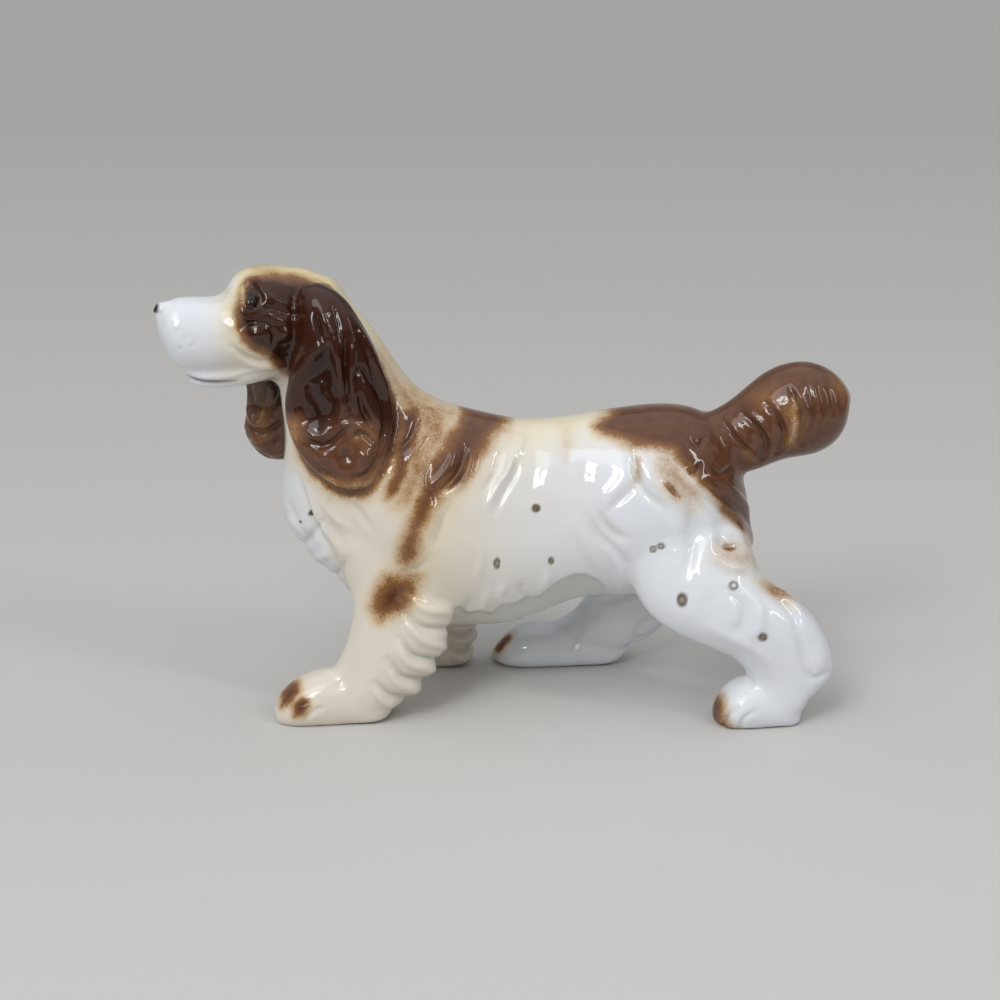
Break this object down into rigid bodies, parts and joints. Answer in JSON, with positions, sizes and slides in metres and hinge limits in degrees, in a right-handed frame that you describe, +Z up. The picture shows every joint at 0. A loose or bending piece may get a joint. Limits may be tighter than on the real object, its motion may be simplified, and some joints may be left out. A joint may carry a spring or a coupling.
{
  "type": "ceramic dog figure",
  "caption": "Standing long-eared spaniel figure in hollow glazed earthenware, white with brown painted patches, that rests on its own four flat soles.",
  "frame": {"origin": "on the floor, under the middle of the figure's bounding box", "axes": "-X is where the dog faces, -Y is its left side, +Z is up"},
  "size_m": [0.2246, 0.0758, 0.1465],
  "materials": {
    "white_glaze": "clear gloss glaze over white earthenware",
    "brown_glaze": "clear gloss glaze over sprayed dark brown",
    "tail_glaze": "clear gloss glaze over sprayed red brown"
  },
  "bodies": {
    "root": {"trunk": "white_glaze", "head": "white_glaze", "left_ear": "brown_glaze", "right_ear": "brown_glaze", "tail": "tail_glaze", "left_front_leg": "white_glaze", "right_front_leg": "white_glaze", "left_hind_leg": "white_glaze", "right_hind_leg": "white_glaze"}
  },
  "joints": []
}
